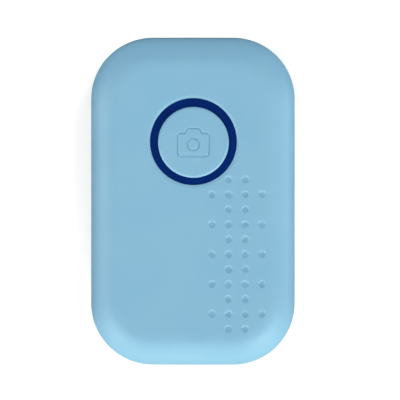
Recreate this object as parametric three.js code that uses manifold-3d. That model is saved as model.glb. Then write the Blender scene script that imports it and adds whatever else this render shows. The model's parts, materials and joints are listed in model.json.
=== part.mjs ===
// A pocket tracker tag, lying on its back: two clamped covers around a circuit board, a coin cell behind
// a twist-off door, a piezo sounder and one large round button with a camera pictogram.
//
// Millimetres. +Z is up, out of the front face. +Y runs towards the button end, and X across the tag.
// The origin is the middle of the back face, on the surface that the tag lies on.

import * as THREE from "three";
import { mergeVertices } from "three/addons/utils/BufferGeometryUtils.js";
import Module from "manifold-3d";

const wasm = await Module();
wasm.setup();

// ---------------------------------------------------------------- driving dimensions

const fine = 36; // sides of a large circle
const medium = 18; // sides of a circle a few millimetres across
const coarse = 8; // sides of a very small circle
const cornerSteps = 3; // pairs of straight runs round each corner of an outline
const past = 1; // how far a cutter runs past the face that it opens
const bite = 0.05; // how deep a joined block is let into the one below it

const body = {
  width: 33,
  length: 53,
  height: 9.5,
  corner: 10.15, // plan radius of the four corners
  wall: 1.3,
  seam: 4, // height of the line where the covers meet
  seamGap: 0.08,
};
body.ceiling = body.height - body.wall;

// The rims are quarter ellipses: the tight ones are round the back face.
const frontEdge = { inwards: 4.8, down: 4.1 };
const backEdge = { inwards: 2.2, down: 2 };
const frontHollowEdge = { inwards: 4, down: 3.6 };
const backHollowEdge = { inwards: 1.8, down: 1.4 };

const tongue = { inset: 0.7, depth: 0.65, root: 0.5, play: 0.08 }; // the front cover's lip
const gasket = { width: 0.5, height: 0.4, play: 0.02 };

const button = {
  y: 9.57,
  radius: 5.75,
  rise: 0.15, // stands this far out of the front face
  plate: 1.2,
  skirt: 0.85,
  edge: 0.3,
  play: 0.13, // between the cap and the ring round it
  flangeRadius: 6.7,
  flangeHeight: 0.45,
  flangeDrop: 0.1, // the flange hangs this far below the ring that holds it in
};
const ring = { radius: 7, sunk: 0.25, flangeRadius: 8.3, flangeHeight: 0.55, low: 7.62 };
const opening = { radius: 7.05, chamfer: 0.25 };
const stem = { radius: 1.3, low: 7.77 };
const pad = { radius: 1.1, low: 7.53, high: 7.75 };

const icon = { width: 5.08, bottom: -2.41, shoulder: 1.28, top: 1.97, hump: 2.2, flare: 0.3 };
const iconGroove = { width: 0.34, depth: 0.15, corner: 0.45, humpCorner: 0.22 };
const lens = { radius: 0.97, y: -0.51 };

const dimple = { radius: 0.64, floor: 0.4, depth: 0.24 };
const dimpleField = { x: 7.05, top: 3.48, pitchX: 2.67, pitchY: 2.39, rows: 11 };

const board = { low: 5.1, thickness: 0.8, inset: 1.8, notch: 2.5, holePlay: 0.15 };
board.top = board.low + board.thickness;

const caseScrew = { x: 10.6, y: 20.6, radius: 0.8, head: 1.45, headHeight: 0.7, seat: 0.95, top: 7.2 };
const caseBoss = { radius: 1.95, foot: 2.2, footTop: 2.2, meet: 4.5, gap: 0.1, play: 0.06, tipRoom: 0.3 };
const counterbore = { play: 0.12, above: 0.03 };
const boardScrew = { x: 11.7, y: 6, radius: 0.7, head: 1.3, headHeight: 0.5, top: 7.7, seatGap: 0.03 };
const boardPost = { radius: 1.5, gap: 0.05 };

const cell = { y: -10, radius: 10, height: 3.2, low: 1.42, sheet: 0.28, capRadius: 8.8, crimp: 0.3 };
cell.top = cell.low + cell.height;
const cellGap = 0.05; // between the cell's own pieces

const door = {
  radius: 12,
  low: 0.12, // sunk a little, so the tag rests on the back cover
  high: 0.88,
  bevel: 0.15,
  rimOuter: 10.85,
  rimInner: 10.25,
  rimTop: 2.1,
  floor: 1.3,
  lugRadius: 11.7,
  lugLow: 1.55,
  lugHalfAngle: 10,
  lugs: 3,
  turn: 30, // degrees from locked to free
};
const coinSlot = { length: 11, width: 1.7, depth: 0.65 };
const doorSeat = { play: 0.1, ledgeLow: 0.95, ledgeHigh: 1.47, trackTop: 2.2, trackPlay: 0.2, endPlay: 2.5 };
const cellWall = { inner: 10.35, outer: 12.8, top: 4.75 };
const seal = { inner: 11.1, outer: 11.8, low: 0.62, high: 0.92, play: 0.05 };
const mark = { radius: 0.4, depth: 0.25, onDoor: 10.2, onCover: 13.3 }; // dots that show the door's place

// The snap dome keeps its arch here, so the plunger stands clear of it by the travel of the button.
const tactile = { size: 5, height: 1, well: 1.9, wellFloor: 0.15, cover: 0.15, gap: 0.02 };
const terminal = { size: 0.7, height: 0.15, x: 2.7, y: 1.7 };
const plunger = { radius: 0.95, tip: 0.85, flange: 1.5, low: 0.7, flangeHigh: 0.92, high: 1.6, play: 0.08 };
const dome = { radius: 1.75, rise: 0.25, sheet: 0.06, steps: 5, gap: 0.02 };

const piezo = { x: 3.5, y: -9.5, brass: 7.5, ceramic: 5, sheet: 0.18, gap: 0.02 };
const piezoGlue = { inner: 5.6, outer: 7.4 };
const piezoRib = { play: 0.15, width: 0.6, height: 0.7, root: 0.3 };
const wireRadius = 0.3;

const contact = { sheet: 0.15, width: 4, boardGap: 0.12, cellGap: 0.14, slotPlay: 0.6 };
const fingerGap = { width: 1.2, from: 3, length: 4 };

// ---------------------------------------------------------------- materials

const finish = (color, roughness, metalness) =>
  new THREE.MeshStandardMaterial({ color, roughness, metalness });

const materials = {
  shell: finish("#8abcd8", 0.45, 0),
  trim: finish("#04286a", 0.3, 0),
  silicone: finish("#d9dde0", 0.6, 0),
  board: finish("#1f6b45", 0.4, 0),
  chip: finish("#1b1c1f", 0.5, 0),
  ceramic: finish("#d8c9a8", 0.6, 0),
  piezoCeramic: finish("#cfcac0", 0.5, 0.3),
  brass: finish("#c9a24c", 0.3, 1),
  steel: finish("#b9bcbf", 0.3, 1),
  nickel: finish("#cfcdc6", 0.25, 1),
  led: finish("#f4f1dc", 0.2, 0),
  blackPlastic: finish("#202225", 0.5, 0),
  pellet: finish("#3a3a3c", 0.9, 0),
  redWire: finish("#c2281f", 0.45, 0),
  blackWire: finish("#17181a", 0.45, 0),
  glue: finish("#e8e6e0", 0.9, 0),
};

// ---------------------------------------------------------------- solids

// A closed geometry as a solid that can be joined and cut.
function solid(geometry) {
  const bare = geometry.index ? geometry.toNonIndexed() : geometry.clone();
  bare.deleteAttribute("normal");
  bare.deleteAttribute("uv");
  const merged = mergeVertices(bare, 1e-4);
  const corners = merged.index.array;
  const triVerts = [];
  for (let i = 0; i < corners.length; i += 3) {
    const [a, b, c] = [corners[i], corners[i + 1], corners[i + 2]];
    if (a !== b && b !== c && c !== a) triVerts.push(a, b, c); // drops the slivers on a lathe's axis
  }
  return new wasm.Manifold(
    new wasm.Mesh({
      numProp: 3,
      vertProperties: merged.attributes.position.array,
      triVerts: new Uint32Array(triVerts),
    }),
  );
}

const join = (...pieces) => pieces.reduce((sum, piece) => sum.add(piece));
const cut = (base, ...tools) => tools.reduce((rest, tool) => rest.subtract(tool), base);
const atEach = (places, piece) => join(...places.map(([x, y]) => piece.translate(x, y, 0)));

function geometryOf(made) {
  const { numProp, vertProperties, triVerts } = made.getMesh();
  const count = vertProperties.length / numProp;
  const position = new Float32Array(count * 3);
  for (let i = 0; i < count; i += 1) {
    position.set(vertProperties.subarray(i * numProp, i * numProp + 3), i * 3);
  }
  const geometry = new THREE.BufferGeometry();
  geometry.setAttribute("position", new THREE.BufferAttribute(position, 3));
  geometry.setIndex(new THREE.BufferAttribute(triVerts, 1));
  geometry.computeVertexNormals();
  return geometry;
}

// The shapes below all stand along +Z, between a low and a high height.

function cone(lowRadius, highRadius, low, high, sides = fine) {
  return solid(
    new THREE.CylinderGeometry(highRadius, lowRadius, high - low, sides)
      .rotateX(Math.PI / 2)
      .translate(0, 0, (low + high) / 2),
  );
}

const rod = (radius, low, high, sides = fine) => cone(radius, radius, low, high, sides);

const tube = (inner, outer, low, high, sides = fine) =>
  cut(rod(outer, low, high, sides), rod(inner, low - past, high + past, sides));

const block = (width, length, low, high) =>
  solid(new THREE.BoxGeometry(width, length, high - low).translate(0, 0, (low + high) / 2));

// A profile of [radius, height] points, turned about the Z axis.
function turned(profile, sides = fine) {
  const points = profile.map(([radius, height]) => new THREE.Vector2(radius, height));
  return solid(new THREE.LatheGeometry(points, sides).rotateX(Math.PI / 2));
}

function extruded(shape, low, high) {
  const geometry = new THREE.ExtrudeGeometry(shape, {
    depth: high - low,
    bevelEnabled: false,
    curveSegments: cornerSteps,
  });
  return solid(geometry.translate(0, 0, low));
}

// ---------------------------------------------------------------- outlines

function roundedRectangle(width, length, radius) {
  const [x, y] = [width / 2 - radius, length / 2 - radius];
  const shape = new THREE.Shape();
  shape.absarc(x, y, radius, 0, Math.PI / 2);
  shape.absarc(-x, y, radius, Math.PI / 2, Math.PI);
  shape.absarc(-x, -y, radius, Math.PI, 1.5 * Math.PI);
  shape.absarc(x, -y, radius, 1.5 * Math.PI, 2 * Math.PI);
  shape.closePath();
  return shape;
}

// The tag's own outline, moved inwards all round.
const outline = (inset) =>
  roundedRectangle(body.width - 2 * inset, body.length - 2 * inset, body.corner - inset);

// A slab with the tag's outline, whose two rims are quarter ellipses.
function pillow(inset, low, high, edge) {
  const geometry = new THREE.ExtrudeGeometry(outline(inset), {
    depth: high - low - 2 * edge.down,
    bevelThickness: edge.down,
    bevelSize: edge.inwards,
    bevelOffset: -edge.inwards,
    bevelSegments: 4,
    curveSegments: cornerSteps,
  });
  return solid(geometry.translate(0, 0, low + edge.down));
}

function sector(inner, outer, fromDegrees, toDegrees) {
  const [from, to] = [fromDegrees, toDegrees].map(THREE.MathUtils.degToRad);
  const shape = new THREE.Shape();
  shape.absarc(0, 0, outer, from, to);
  shape.absarc(0, 0, inner, to, from, true);
  shape.closePath();
  return shape;
}

// The pictogram's case: a rounded box with a hump on top, moved outwards by grow.
function cameraOutline(grow) {
  const side = icon.width / 2 + grow;
  const hump = icon.hump / 2 + grow;
  const [bottom, shoulder, top] = [icon.bottom - grow, icon.shoulder + grow, icon.top + grow];
  const corner = iconGroove.corner + grow;
  const humpCorner = iconGroove.humpCorner + grow;
  const shape = new THREE.Shape();
  shape.moveTo(-side + corner, bottom);
  shape.lineTo(side - corner, bottom);
  shape.quadraticCurveTo(side, bottom, side, bottom + corner);
  shape.lineTo(side, shoulder - corner);
  shape.quadraticCurveTo(side, shoulder, side - corner, shoulder);
  shape.lineTo(hump + icon.flare, shoulder);
  shape.lineTo(hump, top - humpCorner);
  shape.quadraticCurveTo(hump, top, hump - humpCorner, top);
  shape.lineTo(-hump + humpCorner, top);
  shape.quadraticCurveTo(-hump, top, -hump, top - humpCorner);
  shape.lineTo(-hump - icon.flare, shoulder);
  shape.lineTo(-side + corner, shoulder);
  shape.quadraticCurveTo(-side, shoulder, -side, shoulder - corner);
  shape.lineTo(-side, bottom + corner);
  shape.quadraticCurveTo(-side, bottom, -side + corner, bottom);
  return shape;
}

// ---------------------------------------------------------------- places of what repeats

const bothSides = [1, -1];
const caseScrewPlaces = bothSides.flatMap((sx) =>
  bothSides.map((sy) => [sx * caseScrew.x, sy * caseScrew.y]),
);
const boardScrewPlaces = bothSides.map((sx) => [sx * boardScrew.x, boardScrew.y]);

// Rows of two and of four dimples take turns down the grip field.
function dimplePlaces() {
  const places = [];
  for (let row = 0; row < dimpleField.rows; row += 1) {
    const columns = row % 2 ? [-1.5, -0.5, 0.5, 1.5] : [-0.5, 0.5];
    const y = dimpleField.top - row * dimpleField.pitchY;
    columns.forEach((column) => places.push([dimpleField.x + column * dimpleField.pitchX, y]));
  }
  return places;
}

// Each of the door's lugs has a place where it is locked and one where it is free to lift out.
const lugPlaces = Array.from({ length: door.lugs }, (_, i) => {
  const locked = (i * 360) / door.lugs;
  return { locked, free: locked - door.turn };
});

function onCircle(radius, degrees) {
  const angle = THREE.MathUtils.degToRad(degrees);
  return [radius * Math.cos(angle), radius * Math.sin(angle)];
}

// ---------------------------------------------------------------- front cover

function frontSkin() {
  const { width, length, height, seam, wall, ceiling } = body;
  const outside = pillow(0, -height, height, frontEdge);
  const aboveSeam = block(width + past, length + past, seam, height + past);
  const lip = extruded(outline(tongue.inset), seam - tongue.depth, seam + tongue.root);
  const hollow = pillow(wall, -height, ceiling, frontHollowEdge);
  return cut(join(outside.intersect(aboveSeam), lip), hollow);
}

// The bosses, posts and rib under the front face end half-way through the wall.
function frontSupports() {
  const { height, wall, ceiling } = body;
  const halfWay = pillow(wall / 2, -height, height - wall / 2, frontHollowEdge);
  const ribInner = piezo.brass + piezoRib.play;
  const rib = tube(ribInner, ribInner + piezoRib.width, ceiling - piezoRib.height, ceiling + piezoRib.root);
  const supports = join(
    atEach(caseScrewPlaces, rod(caseBoss.radius, caseBoss.meet, height, medium)),
    atEach(boardScrewPlaces, rod(boardPost.radius, board.top + boardPost.gap, height, medium)),
    rib.translate(piezo.x, piezo.y, 0),
  );
  return supports.intersect(halfWay);
}

function frontCover() {
  const { height, ceiling } = body;
  const { radius, chamfer } = opening;
  const hole = rod(radius, ceiling - past, height + past);
  const rim = cone(radius, radius + 2 * chamfer, height - chamfer, height + chamfer);
  const pit = cone(dimple.floor, dimple.radius, height - dimple.depth, height, coarse);
  const screwHole = (screw) => rod(screw.radius + caseBoss.play, 0, screw.top + caseBoss.tipRoom, medium);
  return cut(
    join(frontSkin(), frontSupports()),
    atEach(caseScrewPlaces, screwHole(caseScrew)),
    atEach(boardScrewPlaces, screwHole(boardScrew)),
    atEach(dimplePlaces(), pit),
    join(hole, rim).translate(0, button.y, 0),
  );
}

// ---------------------------------------------------------------- back cover

// The battery door's seat: a ledge with three gaps, and above it a track with end stops for the lugs.
function doorSeatCutter() {
  const { play, ledgeLow, ledgeHigh, trackTop, trackPlay, endPlay } = doorSeat;
  const half = door.lugHalfAngle + endPlay;
  const reach = door.lugRadius + trackPlay;
  const inside = cellWall.inner - trackPlay;
  const tracks = lugPlaces.map(({ locked, free }) =>
    extruded(sector(inside, reach, free - half, locked + half), ledgeHigh, trackTop),
  );
  const gaps = lugPlaces.map(({ free }) =>
    extruded(sector(inside, reach, free - half, free + half), ledgeLow - bite, trackTop),
  );
  return join(
    rod(door.radius + play, -past, ledgeLow),
    rod(door.rimOuter + play, -past, trackTop),
    rod(cellWall.inner, ledgeHigh, cellWall.top + past),
    ...tracks,
    ...gaps,
  );
}

function backSkin() {
  const { width, length, height, wall, seam, seamGap } = body;
  const outside = pillow(0, 0, 2 * height, backEdge);
  const belowSeam = block(width + past, length + past, -past, seam - seamGap);
  return cut(outside.intersect(belowSeam), pillow(wall, wall, 2 * height, backHollowEdge));
}

// The bosses and the battery bay's wall start half-way through the floor.
function backSupports() {
  const { height, wall } = body;
  const halfWay = pillow(wall / 2, wall / 2, 2 * height, backHollowEdge);
  const boss = join(
    rod(caseBoss.foot, wall / 2, caseBoss.footTop, medium),
    rod(caseBoss.radius, wall, caseBoss.meet - caseBoss.gap, medium),
  );
  const bay = rod(cellWall.outer, wall / 2, cellWall.top).translate(0, cell.y, 0);
  return join(atEach(caseScrewPlaces, boss), bay).intersect(halfWay);
}

// The step that holds the gasket and takes the front cover's lip.
function lipRoom() {
  const low = body.seam - tongue.depth - gasket.height - 2 * tongue.play;
  const outside = extruded(outline(tongue.inset - tongue.play), low, body.seam + past);
  return cut(outside, extruded(outline(body.wall), low - past, body.seam + 2 * past));
}

function backCover() {
  const contactNotch = block(contact.width + 2 * contact.slotPlay, 4, doorSeat.trackTop, body.height);
  const headRoom = rod(caseScrew.head + counterbore.play, -past, caseScrew.seat + counterbore.above, medium);
  const shaftRoom = rod(caseScrew.radius + caseBoss.play, -past, body.height, medium);
  const dot = rod(mark.radius, -past, mark.depth, coarse);
  const dots = [90, 90 - door.turn].map((degrees) => onCircle(mark.onCover, degrees));
  return cut(
    join(backSkin(), backSupports()),
    lipRoom(),
    join(doorSeatCutter(), atEach(dots, dot)).translate(0, cell.y, 0),
    contactNotch.translate(0, cell.y + cellWall.outer - past, 0),
    atEach(caseScrewPlaces, join(headRoom, shaftRoom)),
  );
}

// A cord of silicone under the front cover's lip.
function caseGasket() {
  const low = body.seam - tongue.depth - gasket.height - tongue.play;
  const outer = tongue.inset + gasket.play;
  return cut(
    extruded(outline(outer), low, low + gasket.height),
    extruded(outline(outer + gasket.width), low - past, low + gasket.height + past),
  );
}

// ---------------------------------------------------------------- button

function buttonRing() {
  const inner = button.radius + button.play;
  const flangeTop = ring.low + ring.flangeHeight;
  const top = body.height - ring.sunk;
  return turned([
    [inner, ring.low],
    [ring.flangeRadius, ring.low],
    [ring.flangeRadius, flangeTop],
    [ring.radius, flangeTop],
    [ring.radius, top],
    [inner, top],
    [inner, ring.low],
  ]);
}

function cameraGrooves(top) {
  const half = iconGroove.width / 2;
  const low = top - iconGroove.depth;
  const caseLine = cut(
    extruded(cameraOutline(half), low, top + past),
    extruded(cameraOutline(-half), low - past, top + 2 * past),
  );
  const lensLine = tube(lens.radius - half, lens.radius + half, low, top + past, medium);
  return join(caseLine, lensLine.translate(0, lens.y, 0));
}

function buttonCap() {
  const { radius, rise, plate, skirt, edge, flangeRadius, flangeHeight, flangeDrop } = button;
  const top = body.height + rise;
  const flangeHigh = ring.low - flangeDrop;
  const profile = [
    [0, stem.low],
    [stem.radius, stem.low],
    [stem.radius, top - plate],
    [radius - skirt, top - plate],
    [radius - skirt, flangeHigh - flangeHeight],
    [flangeRadius, flangeHigh - flangeHeight],
    [flangeRadius, flangeHigh],
    [radius, flangeHigh],
    [radius, top - edge],
    [radius - edge / 3, top - edge / 3],
    [radius - edge, top],
    [0, top],
  ];
  return cut(turned(profile), cameraGrooves(top));
}

// ---------------------------------------------------------------- battery door

function batteryDoor() {
  const bevel = cone(door.radius - door.bevel, door.radius, door.low, door.low + door.bevel);
  const plate = rod(door.radius, door.low + door.bevel, door.high);
  const rim = rod(door.rimOuter, door.high - bite, door.rimTop);
  const lugs = lugPlaces.map(({ locked }) => {
    const [from, to] = [locked - door.lugHalfAngle, locked + door.lugHalfAngle];
    return extruded(sector(door.rimInner + 0.1, door.lugRadius, from, to), door.lugLow, door.rimTop);
  });
  const sealGroove = tube(
    seal.inner - seal.play,
    seal.outer + seal.play,
    seal.low - seal.play,
    door.high + past / 2,
  );
  const slotEnd = coinSlot.width / 2 - 0.01;
  const slot = roundedRectangle(coinSlot.length, coinSlot.width, slotEnd);
  const dot = rod(mark.radius, -past, door.low + mark.depth, coarse);
  return cut(
    join(bevel, plate, rim, ...lugs),
    rod(door.rimInner, door.floor, door.rimTop + past),
    sealGroove,
    extruded(slot, -past, door.low + coinSlot.depth),
    atEach([onCircle(mark.onDoor, 90)], dot),
  );
}

// ---------------------------------------------------------------- coin cell

function cellCan() {
  const { radius, low, sheet, crimp } = cell;
  const top = cell.top - crimp;
  return turned([
    [0, low],
    [radius - crimp, low],
    [radius, low + crimp],
    [radius, top - crimp],
    [radius - crimp, top],
    [radius - sheet - crimp / 2, top],
    [radius - sheet, top - crimp],
    [radius - sheet, low + sheet],
    [0, low + sheet],
  ]);
}

function cellCap() {
  const { capRadius, top, sheet, crimp } = cell;
  const low = cell.low + sheet + 0.45;
  const inner = capRadius - sheet;
  return turned([
    [inner, low],
    [capRadius, low],
    [capRadius, top - crimp],
    [capRadius - crimp, top],
    [0, top],
    [0, top - sheet],
    [inner, top - sheet],
    [inner, low],
  ]);
}

function cellGasket() {
  const outer = cell.radius - cell.sheet - cellGap;
  const inner = cell.capRadius + cellGap;
  const low = cell.low + cell.sheet + cellGap;
  const high = cell.top - 0.75;
  const foot = { inwards: 0.5, height: 0.35 };
  return turned([
    [inner - foot.inwards, low],
    [outer, low],
    [outer, high],
    [inner, high],
    [inner, low + foot.height],
    [inner - foot.inwards, low + foot.height],
    [inner - foot.inwards, low],
  ]);
}

function cellPellet() {
  const low = cell.low + cell.sheet + cellGap;
  const waist = low + 0.5;
  const insideCap = cell.capRadius - cell.sheet - cellGap;
  const insideFoot = cell.capRadius - 0.55;
  return join(
    rod(insideFoot, low, waist),
    rod(insideCap, waist - bite, cell.top - cell.sheet - cellGap),
  );
}

// A bent strip of spring sheet: a centreline of [y, z] points, given a thickness and a width.
function strip(centreline, width) {
  const half = contact.sheet / 2;
  const last = centreline.length - 1;
  const side = (sign) =>
    centreline.map(([y, z], i) => {
      const [y0, z0] = centreline[Math.max(i - 1, 0)];
      const [y1, z1] = centreline[Math.min(i + 1, last)];
      const run = Math.hypot(y1 - y0, z1 - z0);
      return new THREE.Vector2(y - (sign * half * (z1 - z0)) / run, z + (sign * half * (y1 - y0)) / run);
    });
  const shape = new THREE.Shape([...side(-1), ...side(1).reverse()]);
  const geometry = new THREE.ExtrudeGeometry(shape, { depth: width, bevelEnabled: false });
  // The outline's own x and y become Y and Z, and the extrusion runs along X.
  const turn = new THREE.Matrix4().makeBasis(
    new THREE.Vector3(0, 1, 0),
    new THREE.Vector3(0, 0, 1),
    new THREE.Vector3(1, 0, 0),
  );
  return solid(geometry.applyMatrix4(turn).translate(-width / 2, 0, 0));
}

// Two sprung fingers under the board that press on the cell's cap.
function negativeContact() {
  const high = board.low - contact.boardGap;
  const low = cell.top + contact.cellGap;
  const centreline = [
    [-2.4, high],
    [2.6, high],
    [3.4, high - 0.06],
    [4.6, low + 0.04],
    [5.4, low],
    [6.2, low + 0.1],
  ];
  const between = block(fingerGap.width, fingerGap.length, low - past, high + past);
  const middle = fingerGap.from + fingerGap.length / 2;
  return cut(strip(centreline, contact.width), between.translate(0, middle, 0));
}

// A sprung tongue that hangs from the board and presses on the side of the cell's can.
function positiveContact() {
  const high = board.low - contact.boardGap;
  const side = cell.radius + contact.cellGap;
  const centreline = [
    [side + 0.35, 2.7],
    [side + 0.05, 3.1],
    [side, 3.5],
    [side + 0.04, 4],
    [side + 0.2, 4.6],
    [side + 0.45, high - 0.06],
    [side + 0.9, high],
    [side + 2.6, high],
  ];
  return strip(centreline, contact.width);
}

// ---------------------------------------------------------------- board

function circuitBoard() {
  const [low, high] = [board.low - past, board.top + past];
  return cut(
    extruded(outline(board.inset), board.low, board.top),
    atEach(caseScrewPlaces, rod(board.notch, low, high, medium)),
    atEach(boardScrewPlaces, rod(boardScrew.radius + board.holePlay, low, high, medium)),
  );
}

// The pieces below stand on the board, whose top face is at height 0 for them.

const seatGap = 0.02;

// A flat square package: a thin lead frame, the moulded body on it and a dot at pin one.
function chip(size, height) {
  const inset = size - 0.24;
  const pinOne = [-inset / 2 + 0.8, inset / 2 - 0.8];
  return cut(
    join(block(size, size, seatGap, 0.2), block(inset, inset, 0.2 - bite, height)),
    atEach([pinOne], rod(0.35, height - 0.06, height + past, coarse)),
  );
}

// A crystal: a ceramic base with a narrower metal lid.
const lidded = (width, length, height) =>
  join(
    block(width, length, seatGap, height * 0.35),
    block(width - 0.4, length - 0.4, height * 0.3, height),
  );

// A two-ended part: a waist between two slightly larger end caps.
function twoEnded(length, width, height) {
  const cap = length * 0.2;
  const capPlaces = bothSides.map((end) => [(end * (length - cap)) / 2, 0]);
  return join(
    block(length - 0.1, width - 0.08, seatGap + 0.04, height - 0.04),
    atEach(capPlaces, block(cap, width, seatGap, height)),
  );
}

const statusLed = () =>
  join(block(1.6, 0.8, seatGap, 0.22), block(1, 0.8, 0.2, 0.5), rod(0.32, 0.45, 0.58, coarse));

function transistor() {
  const legPlaces = [
    [-0.95, -1],
    [0.95, -1],
    [0, 1],
  ];
  return join(block(2.9, 1.4, 0.1, 1), atEach(legPlaces, block(0.4, 1.1, seatGap, 0.16)));
}

// A drum core between two flanges.
const inductor = () =>
  join(
    rod(1.5, seatGap, 0.3, medium),
    rod(1.15, 0.3 - bite, 0.95, medium),
    rod(1.5, 0.95 - bite, 1.15, medium),
  );

function wire(points) {
  const path = new THREE.CatmullRomCurve3(points.map((point) => new THREE.Vector3(...point)));
  const section = new THREE.Shape();
  section.absarc(0, 0, wireRadius, 0, 2 * Math.PI);
  return solid(new THREE.ExtrudeGeometry(section, { steps: 14, curveSegments: 4, extrudePath: path }));
}

// ---------------------------------------------------------------- switch

function switchBase() {
  const { size, height, well, wellFloor } = tactile;
  const terminalPlaces = bothSides.flatMap((sx) => bothSides.map((sy) => [sx * terminal.x, sy * terminal.y]));
  return join(
    cut(block(size, size, seatGap, height), rod(well, wellFloor, height + past, medium)),
    atEach(terminalPlaces, block(terminal.size, terminal.size, seatGap, terminal.height)),
  );
}

function switchCover() {
  const low = tactile.height + tactile.gap;
  return cut(
    block(tactile.size, tactile.size, low, low + tactile.cover),
    rod(plunger.radius + plunger.play, low - past, low + past, medium),
  );
}

const switchPlunger = () =>
  join(
    rod(plunger.flange, plunger.low, plunger.flangeHigh, medium),
    cone(plunger.radius, plunger.tip, plunger.flangeHigh - bite, plunger.high, medium),
  );

function switchDome() {
  const low = tactile.wellFloor + dome.gap;
  const arch = (lift) =>
    Array.from({ length: dome.steps + 1 }, (_, i) => {
      const share = i / dome.steps;
      return [dome.radius * share, low + lift + dome.rise * (1 - share * share)];
    });
  return turned([...arch(0), ...arch(dome.sheet).reverse()], medium);
}

// ---------------------------------------------------------------- screws

// A cross-recessed pan-head screw, point up, with the underside of its head at height 0.
function screw({ radius, head, headHeight }, length) {
  const [round, point] = [0.25, 0.6];
  const shape = turned(
    [
      [0, -headHeight],
      [head - round, -headHeight],
      [head, -headHeight + round],
      [head, 0],
      [radius, 0],
      [radius, length - point],
      [0, length],
    ],
    medium,
  );
  const arm = block(head, 0.35, -headHeight - past, -headHeight * 0.45);
  return cut(shape, arm, arm.rotate([0, 0, 90]));
}

// ---------------------------------------------------------------- assembly

const tag = new THREE.Group();

function group(x, y, z) {
  const made = new THREE.Group();
  made.position.set(x, y, z);
  tag.add(made);
  return made;
}

function add(parent, name, made, material, x = 0, y = 0, z = 0) {
  const mesh = new THREE.Mesh(geometryOf(made), material);
  mesh.name = name;
  mesh.position.set(x, y, z);
  parent.add(mesh);
}

const covers = group(0, 0, 0);
add(covers, "front_cover", frontCover(), materials.shell);
add(covers, "back_cover", backCover(), materials.shell);
add(covers, "case_gasket", caseGasket(), materials.silicone);
caseScrewPlaces.forEach(([x, y], i) => {
  const made = screw(caseScrew, caseScrew.top - caseScrew.seat);
  add(covers, `case_screw_${i + 1}`, made, materials.steel, x, y, caseScrew.seat);
});

const press = group(0, button.y, 0);
add(press, "button_ring", buttonRing(), materials.trim);
add(press, "button_cap", buttonCap(), materials.shell);
add(press, "button_pad", rod(pad.radius, pad.low, pad.high, medium), materials.silicone);

const battery = group(0, cell.y, 0);
add(battery, "battery_door", batteryDoor(), materials.shell);
add(battery, "door_seal", tube(seal.inner, seal.outer, seal.low, seal.high), materials.silicone);
add(battery, "coin_cell_can", cellCan(), materials.steel);
add(battery, "coin_cell_cap", cellCap(), materials.steel);
add(battery, "coin_cell_gasket", cellGasket(), materials.blackPlastic);
add(battery, "coin_cell_pellet", cellPellet(), materials.pellet);
add(battery, "negative_contact", negativeContact(), materials.nickel);
add(battery, "positive_contact", positiveContact(), materials.nickel);

// The sounder hangs from the front wall: glue, then brass, then ceramic.
const sounder = group(piezo.x, piezo.y, body.ceiling);
const sounderLayer = (place) => -place * (piezo.sheet + piezo.gap);
const glue = tube(piezoGlue.inner, piezoGlue.outer, sounderLayer(1), -piezo.gap);
const brass = rod(piezo.brass, sounderLayer(2), sounderLayer(2) + piezo.sheet);
const piezoDisc = rod(piezo.ceramic, sounderLayer(3), sounderLayer(3) + piezo.sheet);
add(sounder, "piezo_glue_ring", glue, materials.glue);
add(sounder, "piezo_brass_disc", brass, materials.brass);
add(sounder, "piezo_ceramic_disc", piezoDisc, materials.piezoCeramic);

const electronics = group(0, 0, board.top);
add(electronics, "circuit_board", circuitBoard().translate(0, 0, -board.top), materials.board);
add(electronics, "switch_base", switchBase(), materials.blackPlastic, 0, button.y);
add(electronics, "switch_cover", switchCover(), materials.steel, 0, button.y);
add(electronics, "switch_dome", switchDome(), materials.steel, 0, button.y);
add(electronics, "switch_plunger", switchPlunger(), materials.blackPlastic, 0, button.y);
add(electronics, "radio_chip", chip(6, 0.85), materials.chip, -8.6, -0.5);
add(electronics, "memory_chip", chip(3, 0.6), materials.chip, -9.6, -6.8);
add(electronics, "main_crystal", lidded(3.2, 2.5, 0.7), materials.nickel, -3, -2.2);
add(electronics, "clock_crystal", lidded(2, 1.2, 0.6), materials.nickel, -3.2, 1);
add(electronics, "chip_antenna", twoEnded(7, 2, 1.1), materials.ceramic, 0, 22.2);
add(electronics, "status_led", statusLed(), materials.led, 0, 16.3);
add(electronics, "driver_transistor", transistor(), materials.chip, 7.5, 1);
add(electronics, "boost_inductor", inductor(), materials.chip, 12, 0.6);

const capacitorPlaces = [[-12.6, -4.3], [-12.6, 2.6], [-4, -5], [3.6, 1.4], [3, 20]];
capacitorPlaces.forEach(([x, y], i) => {
  add(electronics, `capacitor_${i + 1}`, twoEnded(1.6, 0.8, 0.75), materials.ceramic, x, y);
});
const resistorPlaces = [[-6, -5.2], [3.4, -0.6], [-3.5, 18.2]];
resistorPlaces.forEach(([x, y], i) => {
  add(electronics, `resistor_${i + 1}`, twoEnded(1.6, 0.8, 0.45), materials.chip, x, y);
});
boardScrewPlaces.forEach(([x, y], i) => {
  const under = -board.thickness - boardScrew.seatGap;
  const made = screw(boardScrew, boardScrew.top - board.low + boardScrew.seatGap);
  add(electronics, `board_screw_${i + 1}`, made, materials.steel, x, y, under);
});

// The wires run from under the sounder down to two pads on the board.
const onBoard = wireRadius + 0.03;
const redRoute = [
  [5.5, -8.5, 1.3],
  [2, -11, 1.1],
  [-3, -14.5, 0.8],
  [-7, -15, onBoard],
  [-8.6, -15, onBoard],
];
const blackRoute = [
  [3, -15.8, 1.45],
  [0, -17.2, 1.2],
  [-4, -17.6, 0.8],
  [-7, -17.2, onBoard],
  [-8.6, -17.2, onBoard],
];
add(electronics, "piezo_wire_red", wire(redRoute), materials.redWire);
add(electronics, "piezo_wire_black", wire(blackRoute), materials.blackWire);

export default tag;
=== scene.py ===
import json
import math

import bmesh
import bpy
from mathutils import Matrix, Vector
from mathutils.geometry import delaunay_2d_cdt
from mathutils.kdtree import KDTree


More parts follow.
